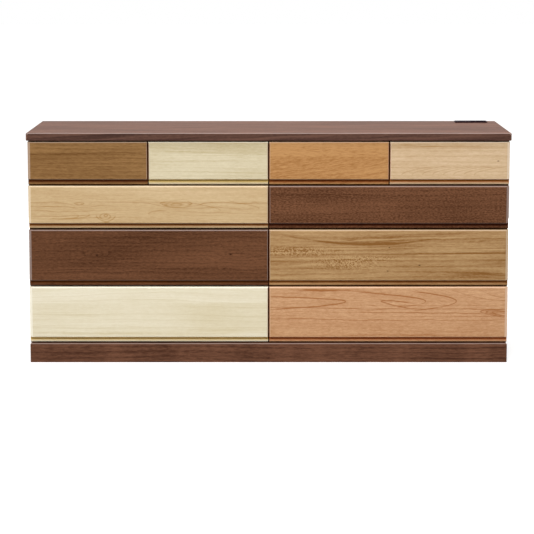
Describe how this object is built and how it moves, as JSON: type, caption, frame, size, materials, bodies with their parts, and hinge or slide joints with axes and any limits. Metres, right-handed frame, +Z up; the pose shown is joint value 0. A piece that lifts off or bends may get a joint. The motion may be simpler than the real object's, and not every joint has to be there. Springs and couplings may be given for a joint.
{
  "type": "low chest of drawers",
  "caption": "Low wide chest with a walnut top and plinth, overlay drawers in mixed woods with finger pulls along their lower edges, and a power outlet let into the top.",
  "frame": {"origin": "middle of the plinth's footprint rectangle under the top, on the floor", "axes": "+Z up, +X to the right seen from the front, drawers open towards -Y"},
  "size_m": [1.5, 0.45, 0.7245],
  "materials": {
    "walnut": "clear satin lacquer",
    "brown_wood": "clear satin lacquer",
    "cream_wood": "clear satin lacquer",
    "orange_wood": "clear satin lacquer",
    "light_beige_wood": "clear satin lacquer",
    "beige_wood": "clear satin lacquer",
    "tan_wood": "clear satin lacquer",
    "pale_cream_wood": "clear satin lacquer",
    "salmon_wood": "clear satin lacquer",
    "carcass_wood": "clear satin lacquer",
    "plywood": "clear satin lacquer",
    "drawer_wood": "clear satin lacquer",
    "runner_wood": "clear satin lacquer",
    "slide_steel": "zinc plated",
    "outlet_plastic": "fine moulded texture"
  },
  "bodies": {
    "chest": {"top_board": "walnut", "left_side_panel": "walnut", "right_side_panel": "walnut", "centre_partition": "carcass_wood", "short_partitions": "carcass_wood", "drawer_shelves": "carcass_wood", "front_rails": "carcass_wood", "bottom_board": "carcass_wood", "back_panels": "plywood", "plinth_front": "walnut", "plinth_sides": "walnut", "plinth_back": "carcass_wood", "plinth_brace": "carcass_wood", "plinth_corner_blocks": "carcass_wood", "small_drawer_runners": "runner_wood", "slide_outer_members": "slide_steel", "outlet_housing": "outlet_plastic"},
    "upper_left_drawer_slide": {"upper_left_drawer_slide_middle": "slide_steel"},
    "upper_left_drawer": {"upper_left_drawer_face": "beige_wood", "upper_left_drawer_box": "drawer_wood", "upper_left_drawer_bottom": "plywood", "upper_left_drawer_slide_inner": "slide_steel"},
    "upper_right_drawer_slide": {"upper_right_drawer_slide_middle": "slide_steel"},
    "upper_right_drawer": {"upper_right_drawer_face": "walnut", "upper_right_drawer_box": "drawer_wood", "upper_right_drawer_bottom": "plywood", "upper_right_drawer_slide_inner": "slide_steel"},
    "middle_left_drawer_slide": {"middle_left_drawer_slide_middle": "slide_steel"},
    "middle_left_drawer": {"middle_left_drawer_face": "walnut", "middle_left_drawer_box": "drawer_wood", "middle_left_drawer_bottom": "plywood", "middle_left_drawer_slide_inner": "slide_steel"},
    "middle_right_drawer_slide": {"middle_right_drawer_slide_middle": "slide_steel"},
    "middle_right_drawer": {"middle_right_drawer_face": "tan_wood", "middle_right_drawer_box": "drawer_wood", "middle_right_drawer_bottom": "plywood", "middle_right_drawer_slide_inner": "slide_steel"},
    "lower_left_drawer_slide": {"lower_left_drawer_slide_middle": "slide_steel"},
    "lower_left_drawer": {"lower_left_drawer_face": "pale_cream_wood", "lower_left_drawer_box": "drawer_wood", "lower_left_drawer_bottom": "plywood", "lower_left_drawer_slide_inner": "slide_steel"},
    "lower_right_drawer_slide": {"lower_right_drawer_slide_middle": "slide_steel"},
    "lower_right_drawer": {"lower_right_drawer_face": "salmon_wood", "lower_right_drawer_box": "drawer_wood", "lower_right_drawer_bottom": "plywood", "lower_right_drawer_slide_inner": "slide_steel"},
    "top_drawer_1": {"top_drawer_1_face": "brown_wood", "top_drawer_1_box": "drawer_wood", "top_drawer_1_bottom": "plywood"},
    "top_drawer_2": {"top_drawer_2_face": "cream_wood", "top_drawer_2_box": "drawer_wood", "top_drawer_2_bottom": "plywood"},
    "top_drawer_3": {"top_drawer_3_face": "orange_wood", "top_drawer_3_box": "drawer_wood", "top_drawer_3_bottom": "plywood"},
    "top_drawer_4": {"top_drawer_4_face": "light_beige_wood", "top_drawer_4_box": "drawer_wood", "top_drawer_4_bottom": "plywood"},
    "outlet_shutter": {"outlet_shutter": "outlet_plastic"}
  },
  "joints": [
    {"name": "upper_left_drawer_pull", "type": "slide", "parent": "chest", "child": "upper_left_drawer", "axis": [0, -1, 0], "range_m": [0, 0.35]},
    {"name": "upper_left_drawer_slide_run", "type": "slide", "parent": "chest", "child": "upper_left_drawer_slide", "axis": [0, -1, 0], "range_m": [0, 0.175]},
    {"name": "upper_right_drawer_pull", "type": "slide", "parent": "chest", "child": "upper_right_drawer", "axis": [0, -1, 0], "range_m": [0, 0.35]},
    {"name": "upper_right_drawer_slide_run", "type": "slide", "parent": "chest", "child": "upper_right_drawer_slide", "axis": [0, -1, 0], "range_m": [0, 0.175]},
    {"name": "middle_left_drawer_pull", "type": "slide", "parent": "chest", "child": "middle_left_drawer", "axis": [0, -1, 0], "range_m": [0, 0.35]},
    {"name": "middle_left_drawer_slide_run", "type": "slide", "parent": "chest", "child": "middle_left_drawer_slide", "axis": [0, -1, 0], "range_m": [0, 0.175]},
    {"name": "middle_right_drawer_pull", "type": "slide", "parent": "chest", "child": "middle_right_drawer", "axis": [0, -1, 0], "range_m": [0, 0.35]},
    {"name": "middle_right_drawer_slide_run", "type": "slide", "parent": "chest", "child": "middle_right_drawer_slide", "axis": [0, -1, 0], "range_m": [0, 0.175]},
    {"name": "lower_left_drawer_pull", "type": "slide", "parent": "chest", "child": "lower_left_drawer", "axis": [0, -1, 0], "range_m": [0, 0.35]},
    {"name": "lower_left_drawer_slide_run", "type": "slide", "parent": "chest", "child": "lower_left_drawer_slide", "axis": [0, -1, 0], "range_m": [0, 0.175]},
    {"name": "lower_right_drawer_pull", "type": "slide", "parent": "chest", "child": "lower_right_drawer", "axis": [0, -1, 0], "range_m": [0, 0.35]},
    {"name": "lower_right_drawer_slide_run", "type": "slide", "parent": "chest", "child": "lower_right_drawer_slide", "axis": [0, -1, 0], "range_m": [0, 0.175]},
    {"name": "top_drawer_1_pull", "type": "slide", "parent": "chest", "child": "top_drawer_1", "axis": [0, -1, 0], "range_m": [0, 0.28]},
    {"name": "top_drawer_2_pull", "type": "slide", "parent": "chest", "child": "top_drawer_2", "axis": [0, -1, 0], "range_m": [0, 0.28]},
    {"name": "top_drawer_3_pull", "type": "slide", "parent": "chest", "child": "top_drawer_3", "axis": [0, -1, 0], "range_m": [0, 0.28]},
    {"name": "top_drawer_4_pull", "type": "slide", "parent": "chest", "child": "top_drawer_4", "axis": [0, -1, 0], "range_m": [0, 0.28]},
    {"name": "outlet_shutter_slide", "type": "slide", "parent": "chest", "child": "outlet_shutter", "axis": [1, 0, 0], "range_m": [0, 0.047]}
  ],
  "couplings": [
    {"joint": "upper_left_drawer_slide_run", "follows": "upper_left_drawer_pull", "ratio": 0.5},
    {"joint": "upper_right_drawer_slide_run", "follows": "upper_right_drawer_pull", "ratio": 0.5},
    {"joint": "middle_left_drawer_slide_run", "follows": "middle_left_drawer_pull", "ratio": 0.5},
    {"joint": "middle_right_drawer_slide_run", "follows": "middle_right_drawer_pull", "ratio": 0.5},
    {"joint": "lower_left_drawer_slide_run", "follows": "lower_left_drawer_pull", "ratio": 0.5},
    {"joint": "lower_right_drawer_slide_run", "follows": "lower_right_drawer_pull", "ratio": 0.5}
  ]
}
